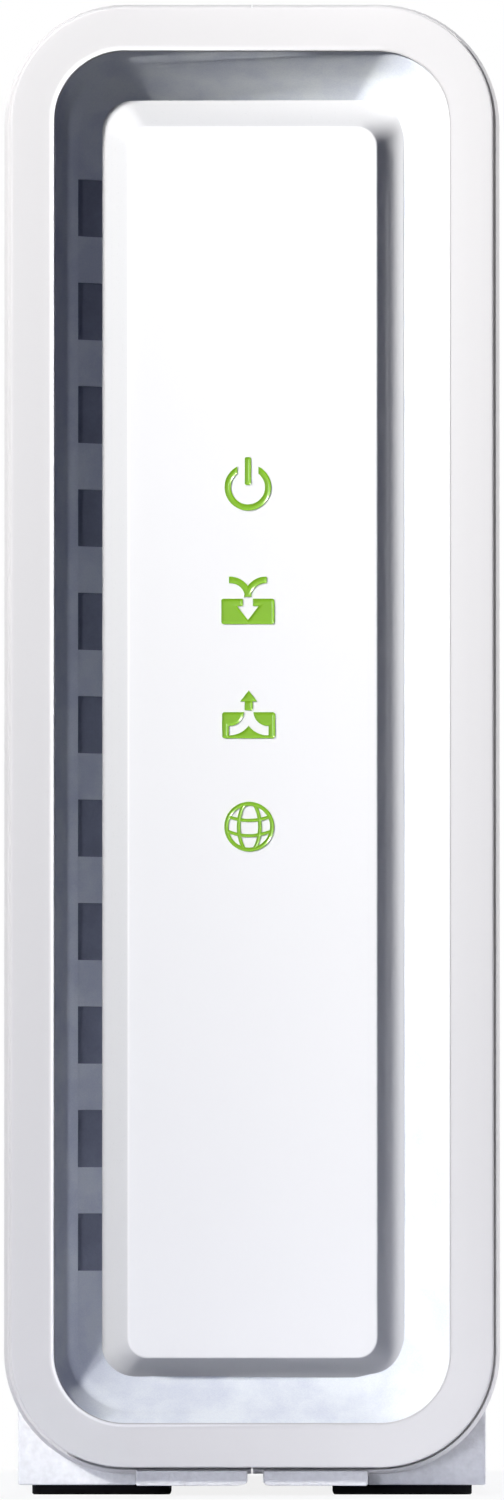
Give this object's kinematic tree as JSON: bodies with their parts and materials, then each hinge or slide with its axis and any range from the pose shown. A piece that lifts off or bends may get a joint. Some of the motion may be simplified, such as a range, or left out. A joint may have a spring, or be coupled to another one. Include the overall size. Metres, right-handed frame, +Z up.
{
  "type": "cable modem",
  "caption": "Slim upright cable modem case on a low base, with a framed front panel of sign lights and rear coax, network and power sockets beside a recessed reset button.",
  "frame": {"origin": "on the surface the rubber pads stand on, under the middle of the whole object", "axes": "+Z up, -Y out of the front panel, +Y out of the sockets, +X to the right seen from the front"},
  "size_m": [0.0442, 0.1316, 0.133],
  "materials": {
    "case_white": "satin moulded plastic",
    "panel_white": "smooth white plastic",
    "channel_silver": "satin silver paint on plastic",
    "pad_black": "matt rubber",
    "rear_grey": "fine texture",
    "screw_steel": "zinc plated",
    "tin_plate": "tinned sheet",
    "board_green": "solder mask",
    "chip_black": "matt moulding",
    "soft_grey": "matt",
    "sink_aluminium": "plain extrusion",
    "can_blue": "shrunk sleeve",
    "socket_black": "matt moulding",
    "contact_brass": "gold flash",
    "nickel": "nickel plate",
    "insert_white": "matt moulding",
    "clear_plastic": "clear moulding",
    "lamp_white": "diffused lens",
    "sign_green": "translucent, lit from behind"
  },
  "bodies": {
    "case": {"front_frame": "case_white", "left_shell": "case_white", "right_shell": "case_white", "front_panel": "panel_white", "vent_channel": "channel_silver", "pad_front_left": "pad_black", "pad_front_right": "pad_black", "pad_rear_left": "pad_black", "pad_rear_right": "pad_black", "rear_panel": "rear_grey", "panel_screw_1": "screw_steel", "panel_screw_2": "screw_steel", "panel_screw_3": "screw_steel", "panel_screw_4": "screw_steel", "board_screw_1": "screw_steel", "board_screw_2": "screw_steel", "board_screw_3": "screw_steel", "board_screw_4": "screw_steel", "coax_washer": "screw_steel", "crystal": "screw_steel", "tuner_can": "tin_plate", "reset_switch_cover": "tin_plate", "main_board": "board_green", "main_chip": "chip_black", "memory_chip": "chip_black", "flash_chip": "chip_black", "light_box": "chip_black", "thermal_pad": "soft_grey", "power_inductor": "soft_grey", "heat_sink": "sink_aluminium", "input_capacitor": "can_blue", "filter_capacitor": "can_blue", "ethernet_jack": "socket_black", "power_jack": "socket_black", "reset_switch_base": "socket_black", "ethernet_contacts": "contact_brass", "coax_body": "nickel", "coax_nut": "nickel", "power_jack_pin": "nickel", "coax_insert": "insert_white", "light_pipe_1": "clear_plastic", "light_pipe_2": "clear_plastic", "light_pipe_3": "clear_plastic", "light_pipe_4": "clear_plastic", "status_light_1": "lamp_white", "status_light_2": "lamp_white", "status_light_3": "lamp_white", "status_light_4": "lamp_white", "link_light_left": "sign_green", "link_light_right": "sign_green"},
    "reset_button": {"reset_plunger": "socket_black"}
  },
  "joints": [
    {"name": "reset_slide", "type": "slide", "parent": "case", "child": "reset_button", "axis": [0, -1, 0], "range_m": [0, 0.0005], "stiffness_N_per_m": 3000}
  ]
}
